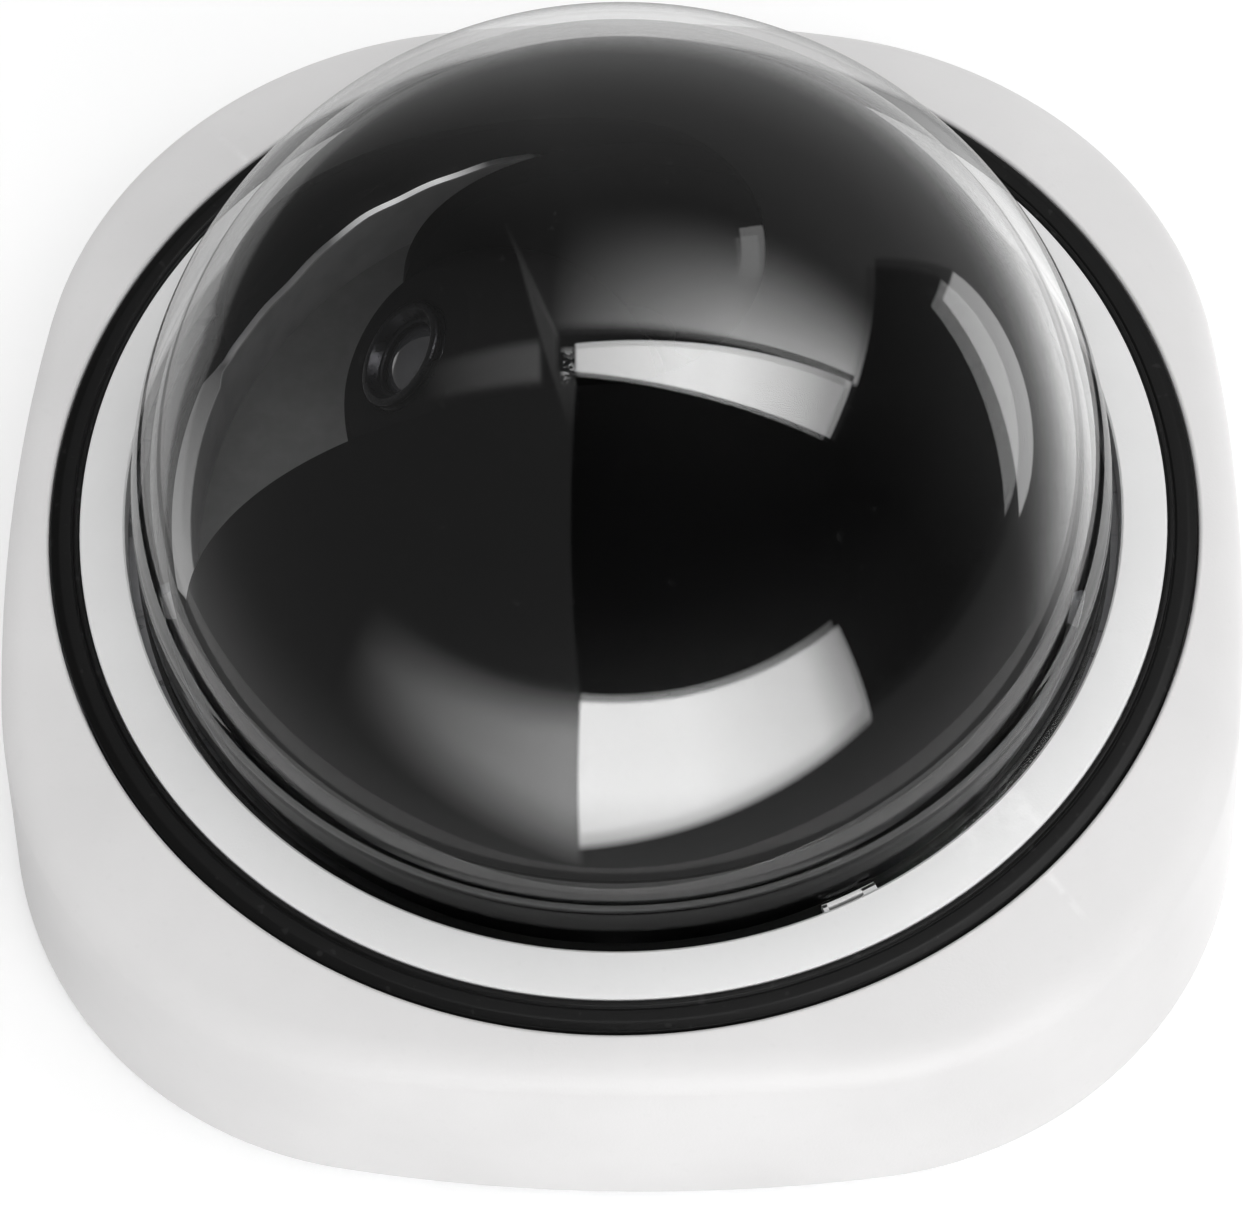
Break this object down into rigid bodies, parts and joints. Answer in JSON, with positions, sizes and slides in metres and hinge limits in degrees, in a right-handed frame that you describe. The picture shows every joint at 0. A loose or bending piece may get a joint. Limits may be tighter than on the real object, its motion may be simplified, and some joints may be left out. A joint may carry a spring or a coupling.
{
  "type": "dome cctv camera",
  "caption": "Small ceiling dome camera: rounded-square white base, black seal ring, clear twist-off dome and slotted black liner over a pan, tilt and rotate lens head.",
  "frame": {"origin": "centre of the flat back that rests on the ceiling", "axes": "+Z away from the ceiling, towards the top of the dome; the lens looks towards -X and +Z at rest"},
  "size_m": [0.125, 0.125, 0.0714],
  "materials": {
    "white_shell": "fine satin texture, moulded",
    "white_trim": "fine satin texture, moulded",
    "zinc_plate": "zinc plated, lightly brushed",
    "screw_steel": "bright zinc",
    "black_screw": "black oxide",
    "black_rubber": "matt, slightly polished crown",
    "grey_silicone": "matt",
    "clear_dome": "clear polished polycarbonate",
    "black_liner": "satin black, moulded",
    "black_nylon": "satin black, moulded",
    "grey_nylon": "satin grey, moulded",
    "head_shell": "fine matt black",
    "circuit_board": "green solder resist",
    "chip_resin": "moulded epoxy",
    "sensor_chip": "polished window",
    "ferrite": "sintered",
    "can_aluminium": "drawn can",
    "cream_plastic": "moulded nylon",
    "terminal_plastic": "moulded nylon",
    "spring_washer": "spring steel",
    "ribbon_film": "polyimide film",
    "black_anodised": "black anodised, fine turning lines",
    "lens_glass": "coated optical glass",
    "filter_glass": "infrared cut coating"
  },
  "bodies": {
    "base": {"mounting_plate": "zinc_plate", "housing": "white_shell", "housing_screws": "screw_steel", "carrier_screws": "screw_steel", "board_screws": "screw_steel", "cable_grommet": "black_rubber", "main_board": "circuit_board", "chips": "chip_resin", "power_inductor": "ferrite", "capacitors": "can_aluminium", "ribbon_connector": "cream_plastic", "terminal_block": "terminal_plastic", "pan_carrier": "black_nylon", "friction_washer": "spring_washer"},
    "cover_seal": {"seal_ring": "black_rubber"},
    "cover": {"trim_ring": "white_trim", "dome": "clear_dome", "dome_gasket": "grey_silicone", "dome_retainer": "black_nylon"},
    "pan_stage": {"turntable": "grey_nylon", "hub_clip": "spring_washer", "yoke": "black_nylon", "yoke_screws": "black_screw", "sensor_ribbon": "ribbon_film", "liner": "black_liner", "liner_screws": "black_screw", "liner_sleeve": "grey_nylon"},
    "tilt_cradle": {"tilt_frame": "black_nylon", "tilt_screws": "black_screw"},
    "camera_head": {"ball_rear": "head_shell", "ball_front": "head_shell", "sensor_board": "circuit_board", "image_sensor": "sensor_chip", "lens_holder": "black_nylon", "infrared_filter": "filter_glass", "holder_screws": "screw_steel", "lens_lock_ring": "black_anodised"},
    "lens": {"lens_barrel": "black_anodised", "front_element": "lens_glass", "lens_clamp_ring": "black_anodised", "rear_element": "lens_glass"}
  },
  "joints": [
    {"name": "cover_lift", "type": "slide", "parent": "base", "child": "cover_seal", "axis": [0, 0, 1], "range_m": [0, 0.065]},
    {"name": "cover_twist", "type": "hinge", "parent": "cover_seal", "child": "cover", "pos_m": [0, 0, 0.0231], "axis": [0, 0, 1], "range_deg": [0, 16]},
    {"name": "pan", "type": "hinge", "parent": "base", "child": "pan_stage", "pos_m": [0, 0, 0.0134], "axis": [0, 0, 1], "range_deg": [-175, 175]},
    {"name": "tilt", "type": "hinge", "parent": "pan_stage", "child": "tilt_cradle", "pos_m": [0, 0, 0.0295], "axis": [0, 1, 0], "range_deg": [-35, 45]},
    {"name": "head_rotation", "type": "hinge", "parent": "tilt_cradle", "child": "camera_head", "pos_m": [0, 0, 0.0295], "axis": [-0.7071, 0, 0.7071], "range_deg": [-175, 175]},
    {"name": "focus", "type": "hinge", "parent": "camera_head", "child": "lens", "pos_m": [0, 0, 0.0295], "axis": [-0.7071, 0, 0.7071], "range_deg": [-180, 180]}
  ]
}
